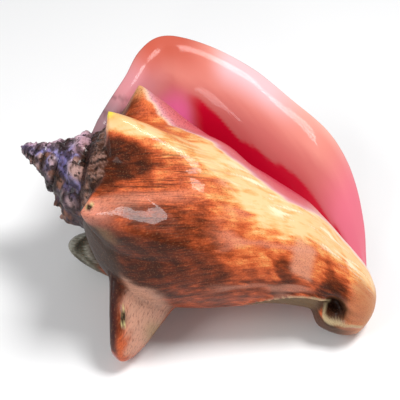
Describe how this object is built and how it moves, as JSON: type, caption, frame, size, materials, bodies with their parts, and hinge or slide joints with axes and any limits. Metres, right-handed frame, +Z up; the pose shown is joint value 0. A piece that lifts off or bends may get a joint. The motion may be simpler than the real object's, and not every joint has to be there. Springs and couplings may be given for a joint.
{
  "type": "conch shell",
  "caption": "Large queen conch sea shell with a knobbed spire, long blunt spines, a flared outer lip and an open aperture, lying on its back.",
  "frame": {"origin": "under the middle of the shell's bounding box, in the plane of the surface that it lies on", "axes": "+X from the spire towards the siphonal canal, +Z up, and the flared lip stands at the +Y side with the aperture open upwards"},
  "size_m": [0.1928, 0.1646, 0.1215],
  "materials": {
    "shell": "gloss"
  },
  "bodies": {
    "root": {"conch_shell": "shell"}
  },
  "joints": []
}
